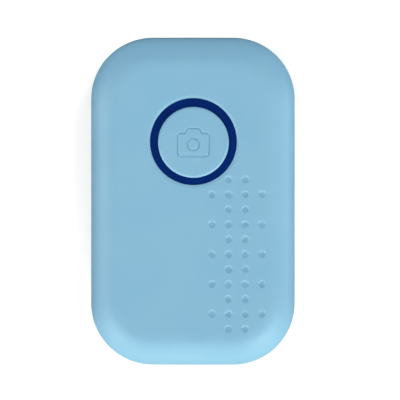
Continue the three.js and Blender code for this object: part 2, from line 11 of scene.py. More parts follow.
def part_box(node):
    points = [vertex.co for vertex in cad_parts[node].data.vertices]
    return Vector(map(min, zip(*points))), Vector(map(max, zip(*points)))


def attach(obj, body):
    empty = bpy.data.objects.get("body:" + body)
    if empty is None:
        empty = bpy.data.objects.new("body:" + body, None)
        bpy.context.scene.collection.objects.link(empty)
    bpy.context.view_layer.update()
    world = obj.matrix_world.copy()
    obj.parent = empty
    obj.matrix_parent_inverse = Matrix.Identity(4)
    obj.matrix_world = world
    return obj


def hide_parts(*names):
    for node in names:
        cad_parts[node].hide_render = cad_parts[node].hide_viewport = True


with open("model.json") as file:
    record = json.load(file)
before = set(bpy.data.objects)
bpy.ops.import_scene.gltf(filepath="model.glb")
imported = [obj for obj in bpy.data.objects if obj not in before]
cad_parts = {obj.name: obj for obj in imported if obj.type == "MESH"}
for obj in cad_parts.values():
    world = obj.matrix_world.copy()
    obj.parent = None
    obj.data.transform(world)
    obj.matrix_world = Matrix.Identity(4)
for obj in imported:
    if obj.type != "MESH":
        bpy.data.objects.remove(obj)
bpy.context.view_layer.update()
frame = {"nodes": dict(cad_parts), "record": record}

mm = 0.001      # shapes are worked out in millimetres, and objects are made in metres


def boxOf(node):
    low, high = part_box(node)
    return low / mm, high / mm


def middleOf(node):
    low, high = boxOf(node)
    return Vector(((low.x + high.x) / 2, (low.y + high.y) / 2))


# sizes and places that several pieces share
coverLow, coverHigh = boxOf("front_cover")
backHigh = boxOf("back_cover")[1]
tag = {
    "width": coverHigh.x - coverLow.x,
    "length": coverHigh.y - coverLow.y,
    "face": coverHigh.z,
    "seam": backHigh.z - 0.75,      # the battery bay's wall stands this far above the parting line
    "seamGap": 0.08,
    "seamRound": 0.14,
    "corner": 10.0,         # plan radius
    "wall": 1.3,
    "cornerSteps": 26,
    "endSteps": 14,
    "sideSteps": 36,
    "circleSteps": 128,
    "triangle": 0.75,       # size of the triangles on the flat faces
    "bead": 0.04,           # flat strip round each feature, which keeps the shading of the face flat
    "ringShift": (0.1, -0.05),
    "capShift": (0, -0.12),         # the cap sits a hair low in its ring
}
ringCentre = middleOf("button_ring") + Vector(tag["ringShift"])
capCentre = ringCentre + Vector(tag["capShift"])
doorCentre = middleOf("battery_door")
screwPlaces = [middleOf(f"case_screw_{i}") for i in range(1, 5)]
postPlaces = [middleOf(f"board_screw_{i}") for i in (1, 2)]


# outlines, as lists of points

def arcPoints(centre, radius, start, end, steps):
    # start and end in degrees, both ends included
    angles = [math.radians(start + (end - start) * i / steps) for i in range(steps + 1)]
    return [(centre[0] + radius * math.cos(a), centre[1] + radius * math.sin(a)) for a in angles]


def circlePoints(centre, radius, steps):
    return arcPoints(centre, radius, 0, 360, steps)[:-1]


def pointOnCircle(centre, radius, degrees):
    return arcPoints(centre, radius, degrees, degrees, 1)[0]


def roundedBox(width, length, radius, cornerSteps, shortSteps=1, longSteps=1):
    # the same number of points whatever the size, so that two of them can be bridged
    x, y = width / 2 - radius, length / 2 - radius
    corners = [(x, y, 0), (-x, y, 90), (-x, -y, 180), (x, -y, 270)]
    arcs = [arcPoints((cx, cy), radius, start, start + 90, cornerSteps) for cx, cy, start in corners]
    points = []
    for i, arc in enumerate(arcs):
        steps = longSteps if i % 2 else shortSteps
        (x0, y0), (x1, y1) = arc[-1], arcs[(i + 1) % 4][0]
        points += arc
        points += [(x0 + (x1 - x0) * k / steps, y0 + (y1 - y0) * k / steps) for k in range(1, steps)]
    return points


def filletedPath(corners, steps, spacing):
    # corners are (x, y, radius), anticlockwise; gives (x, y, outward x, outward y) along the path
    arcs = []
    for i, (x, y, radius) in enumerate(corners):
        here = Vector((x, y))
        before = (here - Vector(corners[i - 1][:2])).normalized()
        after = (Vector(corners[(i + 1) % len(corners)][:2]) - here).normalized()
        turn = math.atan2(before.cross(after), before.dot(after))
        side = 1 if turn > 0 else -1
        outward = Vector((before.y, -before.x))
        reach = radius * math.tan(abs(turn) / 2)
        centre = here - before * reach - outward * radius * side
        arcs.append([])
        for k in range(steps + 1):
            angle = turn * k / steps
            normal = Vector((
                outward.x * math.cos(angle) - outward.y * math.sin(angle),
                outward.x * math.sin(angle) + outward.y * math.cos(angle),
            ))
            arcs[-1].append((*(centre + normal * radius * side), *normal))
    path = []
    for arc, following in zip(arcs, arcs[1:] + arcs[:1]):
        (x0, y0, *normal), (x1, y1, *_) = arc[-1], following[0]
        runs = max(1, round(math.hypot(x1 - x0, y1 - y0) / spacing))
        path += arc
        path += [(x0 + (x1 - x0) * k / runs, y0 + (y1 - y0) * k / runs, *normal) for k in range(1, runs)]
    return path


def roundedEdge(inwards, down, steps, start=0, end=90):
    # (inset, drop) along a quarter ellipse, from a level face round to an upright side
    angles = [math.radians(start + (end - start) * k / steps) for k in range(steps + 1)]
    return [(inwards * (1 - math.sin(t)), down * (1 - math.cos(t))) for t in angles]


def sunkEdge(radius, fillet, z, steps=5):
    # (radius, z) from a face that looks down, at z, over a rounded edge and up into a hole
    return [(radius + fillet + tag["bead"], z)] + [
        (radius + inset, z + drop) for inset, drop in roundedEdge(fillet, fillet, steps)
    ]


def atHeight(points, z):
    return [(x, y, z) for x, y in points]


# mesh building

sharpAngle = 38         # degrees; flatter edges are shaded smooth
mergeDistance = 1e-4    # mm; points closer than this become one


def loft(bm, rings):
    # skins neighbouring rings with quads; a ring of one point closes the end
    made = [[bm.verts.new(p) for p in ring] for ring in rings]
    for low, high in zip(made, made[1:]):
        for i in range(max(len(low), len(high))):
            j = i + 1
            corners = [low[i % len(low)], low[j % len(low)], high[j % len(high)], high[i % len(high)]]
            bm.faces.new(list(dict.fromkeys(corners)))
    return made


def closeEnds(bm, rings):
    bm.faces.new(rings[0])
    bm.faces.new(rings[-1])


def revolve(bm, centre, profile, steps):
    # profile of (radius, z); a radius of 0 closes the end
    rings = []
    for radius, z in profile:
        points = circlePoints(centre, radius, steps) if radius > 0 else [tuple(centre)]
        rings.append(atHeight(points, z))
    return loft(bm, rings)


def isInside(x, y, loop):
    hit = False
    for (x0, y0), (x1, y1) in zip(loop, loop[1:] + loop[:1]):
        if (y0 > y) != (y1 > y) and x < x0 + (x1 - x0) * (y - y0) / (y1 - y0):
            hit = not hit
    return hit


def fillFlat(bm, loops, spacing):
    # fills between the first loop and the rest, which are its holes, with even triangles
    outlines = [[(v.co.x, v.co.y) for v in loop] for loop in loops]
    verts = [v for loop in loops for v in loop]
    height = verts[0].co.z
    edges = []
    for loop in loops:
        start = verts.index(loop[0])
        edges += [(start + i, start + (i + 1) % len(loop)) for i in range(len(loop))]

    def isFace(x, y):
        return isInside(x, y, outlines[0]) and not any(isInside(x, y, hole) for hole in outlines[1:])

    near = KDTree(len(verts))
    for i, v in enumerate(verts):
        near.insert(v.co, i)
    near.balance()
    xs, ys = zip(*outlines[0])
    rowHeight = spacing * math.sqrt(3) / 2
    clearance = spacing * 0.6       # no new point comes closer than this to a loop
    for row in range(int((max(ys) - min(ys)) / rowHeight) + 1):
        for column in range(int((max(xs) - min(xs)) / spacing) + 1):
            x = min(xs) + spacing * (column + 0.5 + (row % 2) / 2)
            y = min(ys) + rowHeight * (row + 0.5)
            if near.find((x, y, height))[2] > clearance and isFace(x, y):
                verts.append(bm.verts.new((x, y, height)))
    points = [Vector((v.co.x, v.co.y)) for v in verts]
    flat = delaunay_2d_cdt(points, edges, [], 0, 1e-6)
    for corners in flat[2]:
        middle = sum((flat[0][c] for c in corners), Vector((0, 0))) / len(corners)
        if isFace(middle.x, middle.y):
            bm.faces.new([verts[flat[3][c][0]] for c in corners])


def refuseOpen(bm, name):
    openEdges = sum(not e.is_manifold for e in bm.edges)
    if openEdges:
        raise ValueError(f"{name} has {openEdges} open edges")


def shadeMesh(mesh):
    mesh.shade_smooth()
    mesh.set_sharp_from_angle(angle=math.radians(sharpAngle))


def meshOf(name, bm):
    bmesh.ops.remove_doubles(bm, verts=bm.verts, dist=mergeDistance)
    bmesh.ops.recalc_face_normals(bm, faces=bm.faces)
    refuseOpen(bm, name)
    mesh = bpy.data.meshes.new(name)
    bmesh.ops.scale(bm, vec=(mm, mm, mm), verts=bm.verts)
    bm.to_mesh(mesh)
    bm.free()
    shadeMesh(mesh)
    return mesh


def combine(mesh, build, operation):
    # mesh joined with or cut by the shape that build makes, as a new mesh
    bm = bmesh.new()
    build(bm)
    tool = bpy.data.objects.new("tool", meshOf("tool", bm))
    base = bpy.data.objects.new("base", mesh)
    for piece in (base, tool):
        bpy.context.scene.collection.objects.link(piece)
    boolean = base.modifiers.new("combine", "BOOLEAN")
    boolean.operation = operation
    boolean.solver = "EXACT"
    boolean.object = tool
    bpy.context.view_layer.update()
    made = bpy.data.meshes.new_from_object(base.evaluated_get(bpy.context.evaluated_depsgraph_get()))
    for piece in (base, tool):
        bpy.data.objects.remove(piece)
    bm = bmesh.new()
    bm.from_mesh(made)
    bmesh.ops.remove_doubles(bm, verts=bm.verts, dist=mergeDistance * mm)       # a cut leaves a few
    refuseOpen(bm, f"{mesh.name} after {operation}")
    bm.to_mesh(made)
    bm.free()
    shadeMesh(made)
    return made


def rods(places, radius, low, high, steps=32):
    # several separate rods in one shape
    def build(bm):
        for place in places:
            revolve(bm, place, [(0, low), (radius, low), (radius, high), (0, high)], steps)
    return build


def sector(inner, outer, middle, halfAngle, low, high, steps):
    # a block between two circles round the battery door's middle
    def build(bm):
        wedge = arcPoints(doorCentre, outer, middle - halfAngle, middle + halfAngle, steps)
        wedge += arcPoints(doorCentre, inner, middle + halfAngle, middle - halfAngle, steps)
        closeEnds(bm, loft(bm, [atHeight(wedge, low), atHeight(wedge, high)]))
    return build


def addPiece(name, mesh, body, slot, replaces, location=(0, 0, 0), turn=0):
    piece = bpy.data.objects.new(name, mesh)
    bpy.context.scene.collection.objects.link(piece)
    piece.location = [v * mm for v in location]
    piece.rotation_euler.z = math.radians(turn)
    piece.data.materials.append(finishes[slot])
    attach(piece, body)
    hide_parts(*replaces)


# materials

def linearColour(hexColour):
    channels = [int(hexColour[i:i + 2], 16) / 255 for i in (1, 3, 5)]
    return [c / 12.92 if c <= 0.04045 else ((c + 0.055) / 1.055) ** 2.4 for c in channels] + [1.0]


def perMetre(sizeInMm):
    return 1 / (sizeInMm * mm)      # a texture's scale, from the size of one of its features


def addNode(tree, kind, settings=None, links=None, into=None):
    # links feed the node's own inputs, and into sends its outputs on to other sockets
    node = tree.nodes.new(kind)
    for name, value in (settings or {}).items():
        if name in node.inputs:
            node.inputs[name].default_value = value
        else:
            setattr(node, name, value)
    for name, source in (links or {}).items():
        tree.links.new(source, node.inputs[name])
    for name, target in (into or {}).items():
        tree.links.new(node.outputs[name], target)
    return node


def startMaterial(name, spec, metallic=0.0):
    material = bpy.data.materials.new(name)
    material.use_nodes = True
    tree = material.node_tree
    shader = tree.nodes["Principled BSDF"]
    shader.inputs["Roughness"].default_value = spec["roughness"][0]
    shader.inputs["Metallic"].default_value = metallic
    if "ior" in spec:
        shader.inputs["IOR"].default_value = spec["ior"]
    place = addNode(tree, "ShaderNodeTexCoord").outputs["Object"]
    return material, tree, shader, place


def paintMottled(tree, place, spec):
    # slow drift between a colour and its shade, as moulded or fired stock has
    settings = {"Scale": perMetre(spec["patch"]), "Detail": 3.0}
    drift = addNode(tree, "ShaderNodeTexNoise", settings, {"Vector": place}).outputs["Fac"]
    share = addNode(tree, "ShaderNodeMapRange", {"From Min": 0.35, "From Max": 0.65}, {"Value": drift})
    return addNode(
        tree, "ShaderNodeMixRGB",
        {"Color1": linearColour(spec["colour"]), "Color2": linearColour(spec["shade"])},
        {"Fac": share.outputs["Result"]},
    ).outputs["Color"]


def spreadRoughness(tree, shader, pattern, spec):
    low, high = spec["roughness"]
    addNode(
        tree, "ShaderNodeMapRange",
        {"From Min": 0.3, "From Max": 0.7, "To Min": low, "To Max": high},
        {"Value": pattern},
        {"Result": shader.inputs["Roughness"]},
    )


def smearSurface(tree, shader, place, spec):
    # handling leaves some patches a little shinier than others
    smears = addNode(
        tree, "ShaderNodeTexNoise",
        {"Scale": perMetre(spec["patch"]), "Detail": 4.0, "Roughness": 0.6},
        {"Vector": place},
    )
    spreadRoughness(tree, shader, smears.outputs["Fac"], spec)


def emboss(tree, shader, place, kind, settings, depth, strength=1.0):
    # raises the surface with a pattern, and gives the pattern
    pattern = addNode(tree, kind, settings, {"Vector": place}).outputs[0]
    addNode(
        tree, "ShaderNodeBump",
        {"Strength": strength, "Distance": depth * mm},
        {"Height": pattern},
        {"Normal": shader.inputs["Normal"]},
    )
    return pattern


def mouldedPlastic(name, spec):
    # moulded or extruded: even colour, the mould's fine grain, and paler worn edges
    material, tree, shader, place = startMaterial(name, spec)
    straight = addNode(tree, "ShaderNodeNewGeometry").outputs["Normal"]
    rounded = addNode(tree, "ShaderNodeBevel", {"samples": 6, "Radius": spec["edge"] * mm}).outputs["Normal"]
    across = addNode(tree, "ShaderNodeVectorMath", {"operation": "DOT_PRODUCT"}, {0: straight, 1: rounded})
    worn = addNode(
        tree, "ShaderNodeMapRange",
        {"From Min": 0.995, "From Max": 0.85, "To Min": 0.0, "To Max": spec["wear"]},
        {"Value": across.outputs["Value"]},
    )
    addNode(
        tree, "ShaderNodeMixRGB",
        {"Color2": linearColour(spec["worn"])},
        {"Fac": worn.outputs["Result"], "Color1": paintMottled(tree, place, spec)},
        {"Color": shader.inputs["Base Color"]},
    )
    smearSurface(tree, shader, place, spec)
    grain = {"Scale": perMetre(spec["grain"]), "Detail": 2.0, "Roughness": 0.5}
    emboss(tree, shader, place, "ShaderNodeTexNoise", grain, spec["grainDepth"])
    return material


def softSilicone(name, spec):
    # cast or moulded silicone and glue: milky, with light passing a little way in
    material, tree, shader, place = startMaterial(name, spec)
    tree.links.new(paintMottled(tree, place, spec), shader.inputs["Base Color"])
    shader.inputs["Subsurface Weight"].default_value = 0.3
    shader.inputs["Subsurface Scale"].default_value = 0.4 * mm
    smearSurface(tree, shader, place, spec)
    dust = {"Scale": perMetre(spec["dust"]), "Detail": 3.0}
    emboss(tree, shader, place, "ShaderNodeTexNoise", dust, spec["dustDepth"])
    return material


def rolledMetal(name, spec):
    # sheet that kept the long fine lines of the rolls, with a faint tarnish
    material, tree, shader, place = startMaterial(name, spec, metallic=1.0)
    tree.links.new(paintMottled(tree, place, spec), shader.inputs["Base Color"])
    stretched = addNode(tree, "ShaderNodeMapping", {"Scale": (1.0, 0.05, 1.0)}, {"Vector": place}).outputs[0]
    lines = {"Scale": perMetre(spec["line"]), "Detail": 3.0}
    pattern = emboss(tree, shader, stretched, "ShaderNodeTexNoise", lines, spec["lineDepth"])
    spreadRoughness(tree, shader, pattern, spec)
    return material


def turnedZincSteel(name, spec):
    # zinc-plated screws: rings from the lathe round each head, and a slightly blue, dulled plating
    material, tree, shader, place = startMaterial(name, spec, metallic=1.0)
    tree.links.new(paintMottled(tree, place, spec), shader.inputs["Base Color"])
    smearSurface(tree, shader, place, spec)
    scale = perMetre(spec["ring"]) * math.tau / 20      # the pattern's own unit holds 20 / tau rings
    rings = {"wave_type": "RINGS", "rings_direction": "Z", "Scale": scale, "Distortion": 0.4}
    emboss(tree, shader, place, "ShaderNodeTexWave", rings, spec["ringDepth"], 0.5)
    return material


def maskedLaminate(name, spec):
    # glass-epoxy board under solder mask: the weave shows faintly, and tracks stand a hair proud
    material, tree, shader, place = startMaterial(name, spec)
    weave = addNode(
        tree, "ShaderNodeTexChecker",
        {"Scale": perMetre(spec["thread"]), "Color1": linearColour(spec["colour"]),
         "Color2": linearColour(spec["shade"])},
        {"Vector": place},
    )
    black, white = linearColour("#000000"), linearColour("#ffffff")
    bricks = {
        "Scale": perMetre(spec["track"]) / 4,       # a row of bricks is a quarter of the pattern's unit
        "Mortar Size": 0.03, "Mortar Smooth": 0.2, "Color1": black, "Color2": black, "Mortar": white,
    }
    tracks = emboss(tree, shader, place, "ShaderNodeTexBrick", bricks, spec["trackDepth"])
    addNode(
        tree, "ShaderNodeMixRGB",
        {"Color2": linearColour(spec["trackColour"])},
        {"Fac": tracks, "Color1": weave.outputs["Color"]},
        {"Color": shader.inputs["Base Color"]},
    )
    smearSurface(tree, shader, place, spec)
    return material


def firedCeramic(name, spec):
    # sintered ceramic: chalky, with fine pores
    material, tree, shader, place = startMaterial(name, spec)
    tree.links.new(paintMottled(tree, place, spec), shader.inputs["Base Color"])
    smearSurface(tree, shader, place, spec)
    emboss(tree, shader, place, "ShaderNodeTexVoronoi", {"Scale": perMetre(spec["pore"])}, spec["poreDepth"])
    return material


# patch, grain, edge and the like are mm, and each depth is the height of that pattern's relief
plastics = {
    # satin, with soft broad highlights
    # its grain is the 0.1 mm of a fine spark-eroded mould, drawn twice as coarse so that it shows
    "shell_plastic": ("mouldedAbsPaleBlue", {
        "colour": "#80b1cc", "shade": "#7caeca", "worn": "#9ccbe4", "wear": 0.3, "edge": 0.15, "patch": 9,
        "roughness": (0.40, 0.48), "ior": 1.53, "grain": 0.2, "grainDepth": 0.004,
    }),
    # off a polished mould: deep colour and a tighter highlight
    "trim_plastic": ("mouldedPolycarbonateNavy", {
        "colour": "#02276d", "shade": "#022263", "worn": "#123a84", "wear": 0.3, "edge": 0.1, "patch": 4,
        "roughness": (0.18, 0.26), "ior": 1.58, "grain": 0.25, "grainDepth": 0.002,
    }),
    # dull, with greyed edges
    "black_plastic": ("mouldedNylonBlack", {
        "colour": "#202225", "shade": "#1a1c1f", "worn": "#3a3d42", "wear": 0.4, "edge": 0.08, "patch": 1.5,
        "roughness": (0.45, 0.6), "ior": 1.53, "grain": 0.12, "grainDepth": 0.004,
    }),
    # filled with silica, so it is grey-black and matt
    "chip_epoxy": ("mouldedEpoxyBlack", {
        "colour": "#1b1c1f", "shade": "#232428", "worn": "#4a4c50", "wear": 0.3, "edge": 0.06, "patch": 1.2,
        "roughness": (0.5, 0.62), "ior": 1.55, "grain": 0.08, "grainDepth": 0.005,
    }),
    # no gloss at all, and a coarse crumb
    "cell_pellet": ("pressedPowderGrey", {
        "colour": "#3a3a3c", "shade": "#2c2c2e", "worn": "#515154", "wear": 0.2, "edge": 0.1, "patch": 1,
        "roughness": (0.8, 0.95), "ior": 1.5, "grain": 0.1, "grainDepth": 0.02,
    }),
    # glossy, over a white package
    "led_lens": ("castEpoxyClear", {
        "colour": "#f4f1dc", "shade": "#ece6c6", "worn": "#ffffff", "wear": 0.2, "edge": 0.06, "patch": 0.6,
        "roughness": (0.12, 0.22), "ior": 1.54, "grain": 0.1, "grainDepth": 0.001,
    }),
    # a smooth bright skin
    "red_wire": ("extrudedPvcRed", {
        "colour": "#c2281f", "shade": "#b0221a", "worn": "#d8463c", "wear": 0.2, "edge": 0.05, "patch": 1.2,
        "roughness": (0.35, 0.5), "ior": 1.53, "grain": 0.15, "grainDepth": 0.003,
    }),
    # a smooth dark skin
    "black_wire": ("extrudedPvcBlack", {
        "colour": "#17181a", "shade": "#202124", "worn": "#3c3e42", "wear": 0.2, "edge": 0.05, "patch": 1.2,
        "roughness": (0.35, 0.5), "ior": 1.53, "grain": 0.15, "grainDepth": 0.003,
    }),
}
silicones = {
    # milky, with a soft sheen
    "silicone": ("mouldedSiliconeMilky", {
        "colour": "#d9dde0", "shade": "#cfd4d8", "patch": 2, "roughness": (0.5, 0.65), "ior": 1.41,
        "dust": 0.2, "dustDepth": 0.006,
    }),
    # a duller white bead
    "glue_ring": ("castAdhesiveWhite", {
        "colour": "#e8e6e0", "shade": "#dcd8cc", "patch": 1, "roughness": (0.6, 0.8), "ior": 1.41,
        "dust": 0.2, "dustDepth": 0.006,
    }),
}
rolledMetals = {
    # warm, with brown tarnish in its patches
    "piezo_brass": ("rolledBrass", {
        "colour": "#c9a24c", "shade": "#b58c3c", "patch": 3, "line": 0.15, "lineDepth": 0.002,
        "roughness": (0.22, 0.36),
    }),
    # cool grey, with the clearest lines
    "steel": ("rolledStainlessSteel", {
        "colour": "#b9bcbf", "shade": "#a9acb0", "patch": 3, "line": 0.12, "lineDepth": 0.002,
        "roughness": (0.24, 0.4),
    }),
    # plating fills the lines, so it is brighter
    "nickel_contact": ("nickelPlatedSpringBronze", {
        "colour": "#cfcdc6", "shade": "#c2bfb4", "patch": 1.5, "line": 0.1, "lineDepth": 0.002,
        "roughness": (0.15, 0.28),
    }),
    # drawn and plated, a little yellower than steel
    "nickel_can": ("nickelPlatedCan", {
        "colour": "#c9c8c2", "shade": "#bdbcb4", "patch": 1, "line": 0.08, "lineDepth": 0.002,
        "roughness": (0.18, 0.3),
    }),
}
ceramics = {
    # sandy brown and chalky
    "chip_ceramic": ("firedCapacitorCeramic", {
        "colour": "#d8c9a8", "shade": "#c9b68e", "patch": 0.6, "roughness": (0.5, 0.65), "ior": 1.7,
        "pore": 0.12, "poreDepth": 0.008,
    }),
    # a grey-white fired silver face
    "piezo_ceramic": ("silveredPiezoCeramic", {
        "colour": "#cfcac0", "shade": "#bfb9ad", "patch": 1.5, "roughness": (0.4, 0.55), "ior": 1.7,
        "pore": 0.12, "poreDepth": 0.008,
    }),
}
# lathe rings of 0.1 mm would be too fine to show, and are drawn coarser
zincSteel = {
    "colour": "#b4b7bb", "shade": "#a2a8b0", "patch": 0.8, "ring": 0.9425, "ringDepth": 0.004,
    "roughness": (0.26, 0.42),
}
boardLaminate = {
    "colour": "#1f6b45", "shade": "#1c6541", "thread": 0.4, "track": 0.6, "trackColour": "#2d8557",
    "trackDepth": 0.03, "patch": 3, "roughness": (0.28, 0.42), "ior": 1.5,
}

finishes = {slot: mouldedPlastic(*made) for slot, made in plastics.items()}
finishes |= {slot: softSilicone(*made) for slot, made in silicones.items()}
finishes |= {slot: rolledMetal(*made) for slot, made in rolledMetals.items()}
finishes |= {slot: firedCeramic(*made) for slot, made in ceramics.items()}
finishes["zinc_steel"] = turnedZincSteel("turnedZincPlatedSteel", zincSteel)
finishes["board_laminate"] = maskedLaminate("maskedGlassEpoxy", boardLaminate)
print("materials:", len(finishes))


# the small parts inside keep their CAD shape, with broken edges and smooth curves

smallPart = {"edge": 0.03, "edgeAngle": 40, "sharpAngle": 35}       # mm, and degrees


def shadeByAngle():
    group = bpy.data.node_groups.new("shadeByAngle", "GeometryNodeTree")
    group.interface.new_socket("Geometry", in_out="INPUT", socket_type="NodeSocketGeometry")
    group.interface.new_socket("Geometry", in_out="OUTPUT", socket_type="NodeSocketGeometry")
    start = addNode(group, "NodeGroupInput")
    angle = addNode(group, "GeometryNodeInputMeshEdgeAngle")
    sharp = addNode(
        group, "FunctionNodeCompare",
        {"operation": "GREATER_THAN", "B": math.radians(smallPart["sharpAngle"])},
        {"A": angle.outputs["Unsigned Angle"]},
    )
    smooth = addNode(
        group, "GeometryNodeSetShadeSmooth",
        {"domain": "FACE", "Shade Smooth": True},
        {"Geometry": start.outputs["Geometry"]},
    )
    cut = addNode(
        group, "GeometryNodeSetShadeSmooth",
        {"domain": "EDGE", "Shade Smooth": False},
        {"Geometry": smooth.outputs["Geometry"], "Selection": sharp.outputs["Result"]},
    )
    addNode(group, "NodeGroupOutput", links={"Geometry": cut.outputs["Geometry"]})
    return group


def finishSmallParts():
    group = shadeByAngle()
    for row in frame["record"]["subparts"]:
        part = frame["nodes"][row["node"]]
        part.data.materials[0] = finishes[row["material_slot"]]
        bevel = part.modifiers.new("brokenEdge", "BEVEL")
        bevel.width = smallPart["edge"] * mm
        bevel.segments = 2
        bevel.limit_method = "ANGLE"
        bevel.angle_limit = math.radians(smallPart["edgeAngle"])
        part.modifiers.new("shadeByAngle", "NODES").node_group = group


finishSmallParts()
print("small parts:", len(frame["nodes"]))


# front cover

frontCover = {
    "rimInwards": 4.8,
    "rimDown": 4.1,
    "rimStart": 9,          # degrees along the rim's curve: the first dimples reach past its start
    "rimSteps": 18,
    "sideRows": (0.9, 0.3),         # above the seam
    "lip": {"inset": 0.72, "depth": 0.62, "round": 0.1, "root": 0.06},
    "hollowInwards": 4.0,
    "hollowDown": 3.6,
    "opening": {"radius": 6.96, "round": 0.6, "lowRound": 0.1},
    "dimples": {
        "middle": 7.05, "top": 3.48, "pitchX": 2.67, "pitchY": 2.39, "rows": 11,
        "radius": 0.66, "floor": 0.42, "depth": 0.18, "wallShare": 0.7, "steps": 28,
    },
    # screw bosses, board posts and the rib that centres the sounder, let into the wall above them
    "boss": {"radius": 1.95, "low": 4.5, "pilot": 0.86, "pilotTop": 7.5},
    "post": {"radius": 1.5, "aboveBoard": 0.05, "pilot": 0.76, "pilotTop": 8.0},
    "rib": {"middle": (3.5, -9.5), "inner": 7.65, "outer": 8.25, "height": 0.7},
    "root": 0.3,
}


def tagRing(inset, z):
    outline = roundedBox(
        tag["width"] - 2 * inset, tag["length"] - 2 * inset, tag["corner"] - inset,
        tag["cornerSteps"], tag["endSteps"], tag["sideSteps"],
    )
    return atHeight(outline, z)


def seamEdge(seam, towards):
    # (inset, z) round the small edge at the parting line; towards is +1 for the cover above it
    edge = roundedEdge(tag["seamRound"], tag["seamRound"], 4)
    return [(inset, seam + towards * drop) for inset, drop in reversed(edge)]


def insetAt(x, y):
    # distance in from the tag's outline, near its edge
    acrossX = abs(x) - tag["width"] / 2 + tag["corner"]
    acrossY = abs(y) - tag["length"] / 2 + tag["corner"]
    if min(acrossX, acrossY) < 0:
        return tag["corner"] - max(acrossX, acrossY)
    return tag["corner"] - math.hypot(acrossX, acrossY)


def followRim(bm, edge):
    # lets the face, with its dimples, fall along the start of the rim's curve
    inwards, down = frontCover["rimInwards"], frontCover["rimDown"]
    nearFace = tag["face"] - 0.6        # deeper than any dimple
    for v in bm.verts:
        inset = insetAt(v.co.x, v.co.y)
        if v.co.z > nearFace and edge - 0.001 < inset < inwards:
            v.co.z -= down * (1 - math.sqrt(1 - (1 - inset / inwards) ** 2))


def dimplePlaces():
    # rows of two and of four take turns
    dimples = frontCover["dimples"]
    for row in range(dimples["rows"]):
        for column in ([-1.5, -0.5, 0.5, 1.5] if row % 2 else [-0.5, 0.5]):
            yield dimples["middle"] + column * dimples["pitchX"], dimples["top"] - row * dimples["pitchY"]


def dimpleProfile():
    # a rounded lip, a sloping wall and a shallow dished floor
    dimples = frontCover["dimples"]
    radius, floor, depth, wallShare = (dimples[k] for k in ("radius", "floor", "depth", "wallShare"))
    profile = [(radius + tag["bead"], tag["face"])]
    for k in range(9):
        share = k / 8
        drop = (1 - math.cos(math.pi * share)) / 2
        profile.append((radius + (floor - radius) * share, tag["face"] - depth * wallShare * drop))
    for share in (0.75, 0.5, 0.25, 0):
        dish = depth * (wallShare + (1 - wallShare) * (1 - share ** 2))
        profile.append((floor * share, tag["face"] - dish))
    return profile


def openingProfile(ceiling):
    # the rounded edge stops where it meets the ring, so that no dark groove shows between them
    radius, fillet, lowRound = (frontCover["opening"][k] for k in ("radius", "round", "lowRound"))
    last = math.degrees(math.acos(1 - (tag["face"] - boxOf("button_ring")[1].z) / fillet))
    edge = roundedEdge(fillet, fillet, 6, 0, last)
    out = radius - edge[-1][0]
    profile = [(out + fillet + tag["bead"], tag["face"])]
    profile += [(out + inset, tag["face"] - drop) for inset, drop in edge]
    return profile + [(radius, ceiling + lowRound), (radius + lowRound, ceiling)]


def soundRib(ceiling):
    rib = frontCover["rib"]
    low, high = ceiling - rib["height"], ceiling + frontCover["root"]
    profile = [(rib["inner"], low), (rib["outer"], low), (rib["outer"], high), (rib["inner"], high)]

    def build(bm):
        revolve(bm, rib["middle"], profile + profile[:1], 96)
    return build


def addFrontSupports(mesh, ceiling):
    boss, post, high = frontCover["boss"], frontCover["post"], ceiling + frontCover["root"]
    postLow = boxOf("circuit_board")[1].z + post["aboveBoard"]
    mesh = combine(mesh, rods(postPlaces, post["radius"], postLow, high), "UNION")
    mesh = combine(mesh, rods(screwPlaces, boss["radius"], boss["low"], high), "UNION")
    mesh = combine(mesh, soundRib(ceiling), "UNION")
    mesh = combine(mesh, rods(screwPlaces, boss["pilot"], 0, boss["pilotTop"]), "DIFFERENCE")
    return combine(mesh, rods(postPlaces, post["pilot"], 0, post["pilotTop"]), "DIFFERENCE")


def buildFrontCover():
    bm = bmesh.new()
    top, seam, wall, lip = tag["face"], tag["seam"] + tag["seamGap"], tag["wall"], frontCover["lip"]
    ceiling = top - wall
    rim = roundedEdge(
        frontCover["rimInwards"], frontCover["rimDown"], frontCover["rimSteps"], frontCover["rimStart"],
    )
    outside = [(rim[0][0], top)] + [(inset, top - drop) for inset, drop in rim[1:]]
    outside += [(0, seam + row) for row in frontCover["sideRows"]] + seamEdge(seam, 1)
    lipOut, lipLow, soft, root = lip["inset"], seam - lip["depth"], lip["round"], lip["root"]
    tongue = [
        (lipOut - root, seam), (lipOut, seam - root), (lipOut, lipLow + soft), (lipOut + soft, lipLow),
        (wall - soft, lipLow), (wall, lipLow + soft), (wall, seam),
    ]
    hollow = roundedEdge(frontCover["hollowInwards"], frontCover["hollowDown"], 10)
    inside = [(wall + inset, ceiling - drop) for inset, drop in reversed(hollow)]
    rings = loft(bm, [tagRing(inset, z) for inset, z in outside + tongue + inside])
    opening = revolve(bm, ringCentre, openingProfile(ceiling), tag["circleSteps"])
    pits = [revolve(bm, place, dimpleProfile(), frontCover["dimples"]["steps"]) for place in dimplePlaces()]
    fillFlat(bm, [rings[0], opening[0]] + [pit[0] for pit in pits], tag["triangle"])
    fillFlat(bm, [rings[-1], opening[-1]], tag["triangle"] * 2)
    followRim(bm, rim[0][0])
    return addFrontSupports(meshOf("frontCover", bm), ceiling)


addPiece("frontCoverShell", buildFrontCover(), "case", "shell_plastic", ["front_cover"])
print("front cover:", len(list(dimplePlaces())), "dimples")


# back cover

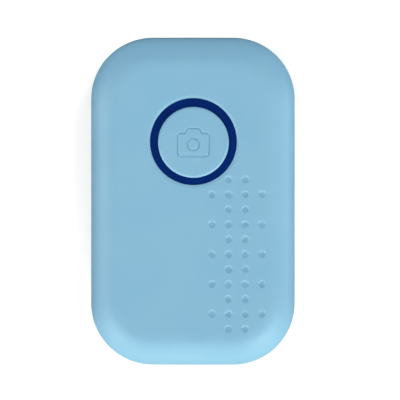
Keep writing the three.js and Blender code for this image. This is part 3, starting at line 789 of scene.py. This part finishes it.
backCover = {
    "rimInwards": 2.2,
    "rimDown": 2.0,
    "rimSteps": 10,
    "sideRows": (0.9, 0.3),         # below the seam
    "step": {"inset": 0.62, "depth": 1.13, "round": 0.06, "bevel": 0.05},
    "hollowInwards": 1.8,
    "hollowDown": 1.4,
    # the door's seat: an opening, a ledge that holds its lugs, and a track above the ledge
    "opening": {"radius": 12.1, "round": 0.22},
    "ledge": {"radius": 10.95, "low": 0.95, "high": 1.47},
    "track": {"radius": 11.9, "top": 2.2},
    "lugGaps": {
        "count": 3, "turn": 30, "halfAngle": 12.5, "inner": 10.15, "outer": 12.0, "low": 0.9, "high": 1.9,
    },
    "bay": {"inner": 10.35, "outer": 12.7, "round": 0.1},
    "contactNotch": {"width": 5.2, "length": 4.0, "inside": 1.0, "low": 2.3},
    "recess": {"radius": 1.57, "depth": 0.98, "round": 0.1, "steps": 48},
    "foot": {"radius": 2.2, "top": 2.2},
    "boss": {"radius": 1.95, "top": 4.4, "root": 0.2},
    "shaftRoom": {"radius": 0.86, "low": 0.2, "top": 5.4},
    "dots": {"radius": 0.4, "round": 0.08, "depth": 0.22, "circle": 13.3, "turn": 30, "steps": 24},
}


def dotProfile(dot, z):
    # a small round alignment mark, cut up into a face that looks down
    radius, depth = dot["radius"], dot["depth"]
    floor = [(radius * 0.9, z + depth * 0.8), (radius * 0.6, z + depth), (0, z + depth)]
    return sunkEdge(radius, dot["round"], z) + floor


def bayProfile():
    opening, ledge, track, bay = (backCover[k] for k in ("opening", "ledge", "track", "bay"))
    inner, outer, soft, top = bay["inner"], bay["outer"], bay["round"], backHigh.z
    return sunkEdge(opening["radius"], opening["round"], 0) + [
        (opening["radius"], ledge["low"]), (ledge["radius"], ledge["low"]), (ledge["radius"], ledge["high"]),
        (track["radius"], ledge["high"]), (track["radius"], track["top"]), (inner, track["top"]),
        (inner, top - soft), (inner + soft, top), (outer - soft, top), (outer, top - soft),
        (outer, tag["wall"]),
    ]


def contactNotch(bm):
    # room in the bay's wall for the positive contact
    notch = backCover["contactNotch"]
    x, reach = notch["width"] / 2, notch["length"] / 2
    y = doorCentre.y + backCover["bay"]["outer"] - notch["inside"]
    corners = [(x, y + reach), (-x, y + reach), (-x, y - reach), (x, y - reach)]
    closeEnds(bm, loft(bm, [atHeight(corners, notch["low"]), atHeight(corners, backHigh.z + 1)]))


def addBackSupports(mesh):
    foot, boss, room, gaps = (backCover[k] for k in ("foot", "boss", "shaftRoom", "lugGaps"))
    low = tag["wall"] - boss["root"]
    mesh = combine(mesh, rods(screwPlaces, foot["radius"], low, foot["top"]), "UNION")
    mesh = combine(mesh, rods(screwPlaces, boss["radius"], low, boss["top"]), "UNION")
    mesh = combine(mesh, rods(screwPlaces, room["radius"], room["low"], room["top"]), "DIFFERENCE")
    for i in range(gaps["count"]):
        # where one of the door's lugs drops past the ledge
        middle = i * 360 / gaps["count"] - gaps["turn"]
        gap = sector(gaps["inner"], gaps["outer"], middle, gaps["halfAngle"], gaps["low"], gaps["high"], 12)
        mesh = combine(mesh, gap, "DIFFERENCE")
    return combine(mesh, contactNotch, "DIFFERENCE")


def buildBackCover():
    bm = bmesh.new()
    seam, wall, step = tag["seam"], tag["wall"], backCover["step"]
    rim = roundedEdge(backCover["rimInwards"], backCover["rimDown"], backCover["rimSteps"])
    # this face looks down, so each drop is a height
    outside = [(backCover["rimInwards"] + tag["bead"], 0)] + rim
    outside += [(0, seam - row) for row in backCover["sideRows"]] + seamEdge(seam, -1)
    stepLow, soft, bevel = seam - step["depth"], step["round"], step["bevel"]
    ledge = [
        (step["inset"] - soft, seam), (step["inset"], seam - soft), (step["inset"], stepLow),
        (wall - bevel, stepLow), (wall, stepLow - bevel),
    ]
    hollow = roundedEdge(backCover["hollowInwards"], backCover["hollowDown"], 8)
    inside = [(wall + inset, min(wall + drop, stepLow - soft)) for inset, drop in reversed(hollow)]
    rings = loft(bm, [tagRing(inset, z) for inset, z in outside + ledge + inside])
    bay = revolve(bm, doorCentre, bayProfile(), tag["circleSteps"])
    radius, depth, soft = (backCover["recess"][k] for k in ("radius", "depth", "round"))
    recess = sunkEdge(radius, soft, 0) + [(radius, depth), (0, depth)]
    holes = [bay[0]] + [revolve(bm, place, recess, backCover["recess"]["steps"])[0] for place in screwPlaces]
    dots = backCover["dots"]
    for degrees in (90, 90 - dots["turn"]):
        place = pointOnCircle(doorCentre, dots["circle"], degrees)
        holes.append(revolve(bm, place, dotProfile(dots, 0), dots["steps"])[0])
    fillFlat(bm, [rings[0]] + holes, tag["triangle"])
    fillFlat(bm, [rings[-1], bay[-1]], tag["triangle"] * 2)
    return addBackSupports(meshOf("backCover", bm))


addPiece("backCoverShell", buildBackCover(), "case", "shell_plastic", ["back_cover"])
print("back cover:", len(screwPlaces), "screw recesses")


# button ring

ringShape = {"flangeRadius": 8.3, "flangeHeight": 0.55, "radius": 6.95, "inner": 5.675, "round": 0.015}


def buildButtonRing():
    bm = bmesh.new()
    low, high = (corner.z for corner in boxOf("button_ring"))
    inner, outer, flange, soft = (ringShape[k] for k in ("inner", "radius", "flangeRadius", "round"))
    flangeTop = low + ringShape["flangeHeight"]
    edge = list(reversed(roundedEdge(soft, soft, 4)))
    outside = [(flange - soft, low), (flange, low + soft), (flange, flangeTop), (outer, flangeTop)]
    outside += [(outer - inset, high - drop) for inset, drop in edge]
    inside = [(inner, low)] + [(inner + inset, high - drop) for inset, drop in edge]
    steps = tag["circleSteps"]
    rings = [atHeight(circlePoints(ringCentre, radius, steps), z) for radius, z in outside]
    rings += [atHeight(circlePoints(capCentre, radius, steps), z) for radius, z in reversed(inside)]
    loft(bm, rings + [rings[0]])
    return meshOf("buttonRing", bm)


addPiece("buttonTrimRing", buildButtonRing(), "case", "trim_plastic", ["button_ring"])
print("button ring")


# button cap, with its engraved pictogram

cap = {
    "radius": 5.66, "round": 0.36, "plate": 1.2, "skirt": 0.85, "stemRadius": 1.3, "padGap": 0.02,
    "flangeRadius": 6.7, "flangeHeight": 0.45, "flangeRound": 0.05,
    "steps": 120, "triangle": 0.5, "fineTriangle": 0.4,
    # half widths and heights from the cap's centre, each with the radius of its corner
    "pictogram": {
        "side": 2.54, "bottom": -2.26, "shoulder": 1.43, "top": 2.12, "humpTop": 1.1, "humpFoot": 1.3,
        "corner": 0.52, "footCorner": 0.27, "topCorner": 0.26, "cornerSteps": 6, "spacing": 0.25,
        "lensRadius": 0.96, "lensHeight": -0.36, "lensSteps": 40,
        "grooveWidth": 0.42, "grooveDepth": 0.16,
        # (across, down) shares of a rounded V with a soft edge, from its outer bead to its bottom
        "groove": [(1.12, 0), (1, 0), (0.8, 0.16), (0.55, 0.62), (0.28, 0.93), (0, 1)],
    },
}
pictogram = cap["pictogram"]


def cameraPath():
    side, foot, hump = pictogram["side"], pictogram["humpFoot"], pictogram["humpTop"]
    bottom, shoulder, top = pictogram["bottom"], pictogram["shoulder"], pictogram["top"]
    corner, footCorner, topCorner = pictogram["corner"], pictogram["footCorner"], pictogram["topCorner"]
    right = [
        (side, bottom, corner), (side, shoulder, corner),
        (foot, shoulder, footCorner), (hump, top, topCorner),
    ]
    left = [(-x, y, radius) for x, y, radius in reversed(right)]
    return filletedPath(right + left, pictogram["cornerSteps"], pictogram["spacing"])


def lensPath():
    radius, y = pictogram["lensRadius"], pictogram["lensHeight"]
    ring = circlePoints((0, 0), 1, pictogram["lensSteps"])
    return [(u * radius, y + v * radius, u, v) for u, v in ring]


def grooveRings(path, z):
    # from the groove's outer edge, over its bottom, to its inner edge
    half, depth = pictogram["grooveWidth"] / 2, pictogram["grooveDepth"]
    rows = pictogram["groove"] + [(-across, share) for across, share in reversed(pictogram["groove"][:-1])]
    rings = []
    for across, share in rows:
        rings.append([
            (capCentre.x + x + nx * half * across, capCentre.y + y + ny * half * across, z - depth * share)
            for x, y, nx, ny in path
        ])
    return rings


def capProfile(low, top):
    radius, soft, stem = cap["radius"], cap["round"], cap["stemRadius"]
    flange, flangeRound, flangeHigh = cap["flangeRadius"], cap["flangeRound"], low + cap["flangeHeight"]
    under, skirt = top - cap["plate"], radius - cap["skirt"]
    stemLow = boxOf("button_pad")[1].z + cap["padGap"]
    profile = [(radius - soft - tag["bead"], top)]
    profile += [(radius - inset, top - drop) for inset, drop in roundedEdge(soft, soft, 6)]
    return profile + [
        (radius, flangeHigh), (flange - flangeRound, flangeHigh), (flange, flangeHigh - flangeRound),
        (flange, low), (skirt, low), (skirt, under), (stem, under), (stem, stemLow), (0, stemLow),
    ]


def buildButtonCap():
    bm = bmesh.new()
    low, top = (corner.z for corner in boxOf("button_cap"))
    side = revolve(bm, capCentre, capProfile(low, top), cap["steps"])
    caseGroove = loft(bm, grooveRings(cameraPath(), top))
    lensGroove = loft(bm, grooveRings(lensPath(), top))
    fillFlat(bm, [side[0], caseGroove[0]], cap["triangle"])
    fillFlat(bm, [caseGroove[-1], lensGroove[0]], cap["fineTriangle"])
    fillFlat(bm, [lensGroove[-1]], cap["fineTriangle"])
    return meshOf("buttonCap", bm)


addPiece("buttonFace", buildButtonCap(), "button", "shell_plastic", ["button_cap"])
print("button cap")


# battery door

door = {
    "radius": 12.0, "round": 0.16, "high": 0.88, "floor": 1.3,
    "rim": {"outer": 10.85, "inner": 10.25, "round": 0.08},
    "lugs": {"count": 3, "radius": 11.7, "halfAngle": 10, "low": 1.55, "root": 0.1, "belowRim": 0.01},
    "sealGroove": {"inner": 11.05, "outer": 11.85, "low": 0.57},
    "slot": {"length": 11.0, "width": 1.7, "depth": 0.65, "round": 0.15, "floorRound": 0.1, "triangle": 0.5},
    "dot": {"radius": 0.4, "round": 0.08, "depth": 0.22, "circle": 10.2, "steps": 24},
}


def slotRing(grow, z):
    width, length = door["slot"]["width"] + 2 * grow, door["slot"]["length"] + 2 * grow
    outline = roundedBox(length, width, width / 2 - 0.001, 12, 16, 1)
    return atHeight([(x + doorCentre.x, y + doorCentre.y) for x, y in outline], z)


def coinSlot(low):
    # a rounded mouth, upright sides and a slightly narrower floor
    soft, high, floorRound = door["slot"]["round"], low + door["slot"]["depth"], door["slot"]["floorRound"]
    mouth = [slotRing(inset, low + drop) for inset, drop in roundedEdge(soft, soft, 4)]
    floor = [(0, high - floorRound), (-0.3 * floorRound, high - 0.3 * floorRound), (-floorRound, high)]
    return [slotRing(soft + tag["bead"], low)] + mouth + [slotRing(grow, z) for grow, z in floor]


def doorProfile(low, rimTop):
    radius, soft, high, floor = (door[k] for k in ("radius", "round", "high", "floor"))
    inner, outer, rimRound = (door["rim"][k] for k in ("inner", "outer", "round"))
    groove = door["sealGroove"]
    profile = [(radius - soft - tag["bead"], low)]
    profile += [(radius - inset, low + drop) for inset, drop in roundedEdge(soft, soft, 5)]
    return profile + [
        (radius, high), (groove["outer"], high), (groove["outer"], groove["low"]),
        (groove["inner"], groove["low"]), (groove["inner"], high), (outer, high), (outer, rimTop - rimRound),
        (outer - rimRound, rimTop), (inner + rimRound, rimTop), (inner, rimTop - rimRound), (inner, floor),
        (0, floor),
    ]


def buildBatteryDoor():
    bm = bmesh.new()
    low, rimTop = (corner.z for corner in boxOf("battery_door"))
    side = revolve(bm, doorCentre, doorProfile(low, rimTop), tag["circleSteps"])
    slot = loft(bm, coinSlot(low))
    place = pointOnCircle(doorCentre, door["dot"]["circle"], 90)
    dot = revolve(bm, place, dotProfile(door["dot"], low), door["dot"]["steps"])
    fillFlat(bm, [side[0], slot[0], dot[0]], tag["triangle"])
    fillFlat(bm, [slot[-1]], door["slot"]["triangle"])
    mesh = meshOf("batteryDoor", bm)
    lugs = door["lugs"]
    inner, high = door["rim"]["inner"] + lugs["root"], rimTop - lugs["belowRim"]
    for i in range(lugs["count"]):
        middle = i * 360 / lugs["count"]
        lug = sector(inner, lugs["radius"], middle, lugs["halfAngle"], lugs["low"], high, 10)
        mesh = combine(mesh, lug, "UNION")
    return mesh


addPiece("batteryDoorLid", buildBatteryDoor(), "door", "shell_plastic", ["battery_door"])
print("battery door:", door["lugs"]["count"], "lugs")


# case screws

screw = {
    "head": 1.45, "headHeight": 0.7, "headFlat": 0.55, "headRise": 0.55, "headCurve": 1.3, "headRound": 0.06,
    "shaft": 0.8, "core": 0.62, "pitch": 0.5, "crest": 0.12, "firstThread": 0.3, "point": 0.6,
    "crossLength": 1.55, "crossWidth": 0.34, "crossDepth": 0.42, "lengthTaper": 0.45, "widthTaper": 0.8,
    "turns": [12, 48, -23, 67],         # degrees where each cross stopped when it was tightened
}


def screwProfile(length):
    # stands point up with the underside of its head at height 0
    head, high, flat, soft = (screw[k] for k in ("head", "headHeight", "headFlat", "headRound"))
    shaft, core, pitch, crest = (screw[k] for k in ("shaft", "core", "pitch", "crest"))
    profile = [(0, -high)]
    for k in range(1, 9):       # a low pan head: flat in the middle, round at its edge
        t = math.pi / 2 * k / 8
        rise = high * screw["headRise"] * (1 - math.cos(t)) ** screw["headCurve"]
        profile.append((head * (flat + (1 - flat) * math.sin(t)), -high + rise))
    profile += [(head, -soft), (head - soft, 0), (core, 0)]
    for i in range(int((length - screw["point"]) / pitch)):
        z = (i + screw["firstThread"]) * pitch
        profile += [(core, z), (shaft, z + crest), (core, z + 2 * crest)]
    return profile + [(core, length - screw["point"]), (0, length)]


def crossArm(turn):
    # one arm of the driver's cross, smaller at its bottom than at the head's face
    half, width, high = screw["crossLength"] / 2, screw["crossWidth"] / 2, screw["headHeight"]
    cos, sin = math.cos(math.radians(turn)), math.sin(math.radians(turn))
    bottom = (-high + screw["crossDepth"], half * screw["lengthTaper"], width * screw["widthTaper"])

    def build(bm):
        rings = []
        for z, x, y in ((-high - 0.2, half, width), bottom):
            corners = [(x, y), (-x, y), (-x, -y), (x, -y)]
            rings.append([(a * cos - b * sin, a * sin + b * cos, z) for a, b in corners])
        closeEnds(bm, loft(bm, rings))
    return build


def buildScrew(length):
    bm = bmesh.new()
    revolve(bm, (0, 0), screwProfile(length), 40)
    mesh = meshOf("caseScrew", bm)
    for turn in (0, 90):
        mesh = combine(mesh, crossArm(turn), "DIFFERENCE")
    return mesh


def addCaseScrews():
    low, high = (corner.z for corner in boxOf("case_screw_1"))
    seat = low + screw["headHeight"]
    mesh = buildScrew(high - seat)
    for i, (place, turn) in enumerate(zip(screwPlaces, screw["turns"]), start=1):
        addPiece(
            f"caseScrew{i}", mesh.copy(), "case", "zinc_steel", [f"case_screw_{i}"],
            location=(place.x, place.y, seat), turn=turn,
        )


addCaseScrews()
print("screws:", len(screwPlaces))


# floor, light and camera

studio = {
    "floorRows": (0.1, 0.4, 1.2),       # metres; the floor is flat as far as the last
    "wallRadius": 1.8,      # and then curves up into a wall all round
    "wallHeight": 2.0,
    "floor": {"colour": "#f7f7f5", "shade": "#f4f4f2", "patch": 60, "roughness": (0.8, 0.8), "ior": 1.5},
    "floorGlow": 0.3,       # a table lit from below, which keeps the shadow faint
    "skyColour": "#eef2f6",
    "skyStrength": 0.03,
    "lightSize": 0.5,
    "lightDistance": 0.9,
    # each softbox: its bearing from the tag's lower end and its height, in degrees, its watts, its colour,
    # and whether it lights the surfaces or only shows in their sheen
    "lights": {
        "front": (0, 8, 16.2, "#fff6ea", "surface"),
        "frontRight": (45, 18, 1.2, "#fff4ea", "surface"),
        "right": (90, 12, 5.1, "#ffffff", "surface"),
        "backRight": (135, 42, 4.35, "#ffffff", "surface"),
        "backLeft": (-135, 42, 1.9, "#ffffff", "surface"),
        "leftHigh": (-90, 30, 4.3, "#fdf9f9", "surface"),
        "leftLow": (-90, 12, 1.6, "#ffffff", "surface"),
        "sheenLeft": (-45, 38, 2.2, "#ffffff", "sheen"),
        "sheenRight": (45, 38, 2.2, "#ffffff", "sheen"),
    },
    "camera": {
        "lens": 150.0,
        "frameWidth": 64.9,     # mm across the picture at the height of the tag's widest outline
        "offset": (1.15, 0.18),         # mm from the tag's middle to the picture's middle
        "aimHeight": 5.4,
    },
}


def buildFloor():
    bm = bmesh.new()
    flat, wall = studio["floorRows"][-1], studio["wallRadius"]
    profile = [(0, 0)] + [(radius, 0) for radius in studio["floorRows"]]
    curve = list(reversed(roundedEdge(wall - flat, wall - flat, 8)))
    profile += [(wall - drop, inset) for inset, drop in curve[1:]]
    revolve(bm, (0, 0), profile + [(wall, studio["wallHeight"])], 64)
    bmesh.ops.recalc_face_normals(bm, faces=bm.faces)
    mesh = bpy.data.meshes.new("floor")
    bm.to_mesh(mesh)
    bm.free()
    mesh.shade_smooth()
    floor = bpy.data.objects.new("floor", mesh)
    bpy.context.scene.collection.objects.link(floor)
    material, tree, shader, place = startMaterial("paintedStudioFloor", studio["floor"])
    tree.links.new(paintMottled(tree, place, studio["floor"]), shader.inputs["Base Color"])
    shader.inputs["Emission Color"].default_value = linearColour(studio["floor"]["colour"])
    shader.inputs["Emission Strength"].default_value = studio["floorGlow"]
    floor.data.materials.append(material)
    floor.visible_diffuse = False       # a lit table would wash out the tag's edges
    floor.visible_glossy = False


def addSoftbox(name, bearing, elevation, power, colour, shows):
    light = bpy.data.lights.new(name, "AREA")
    light.shape = "DISK"
    light.size = studio["lightSize"]
    light.energy = power
    light.color = linearColour(colour)[:3]
    box = bpy.data.objects.new(name, light)
    turn, rise = math.radians(bearing), math.radians(elevation)
    towards = Vector((math.sin(turn) * math.cos(rise), -math.cos(turn) * math.cos(rise), math.sin(rise)))
    box.location = towards * studio["lightDistance"]
    box.rotation_euler = towards.to_track_quat("Z", "Y").to_euler()
    box.visible_camera = False
    box.visible_glossy = shows == "sheen"
    box.visible_diffuse = shows == "surface"
    bpy.context.scene.collection.objects.link(box)


def buildStudio():
    buildFloor()
    for name, settings in studio["lights"].items():
        addSoftbox(name, *settings)
    world = bpy.data.worlds.new("studio")
    world.use_nodes = True
    sky = world.node_tree.nodes["Background"]
    sky.inputs["Color"].default_value = linearColour(studio["skyColour"])
    sky.inputs["Strength"].default_value = studio["skyStrength"]
    bpy.context.scene.world = world
    bpy.context.scene.view_settings.view_transform = "Standard"


def addCamera():
    view = studio["camera"]
    camera = bpy.data.objects.new("camera", bpy.data.cameras.new("camera"))
    camera.data.lens = view["lens"]
    distance = view["frameWidth"] * camera.data.lens / camera.data.sensor_width
    camera.location = [v * mm for v in (*view["offset"], view["aimHeight"] + distance)]
    camera.data.clip_start = 0.01
    camera.data.clip_end = 10
    bpy.context.scene.collection.objects.link(camera)
    bpy.context.scene.camera = camera


buildStudio()
addCamera()
print("studio and camera")
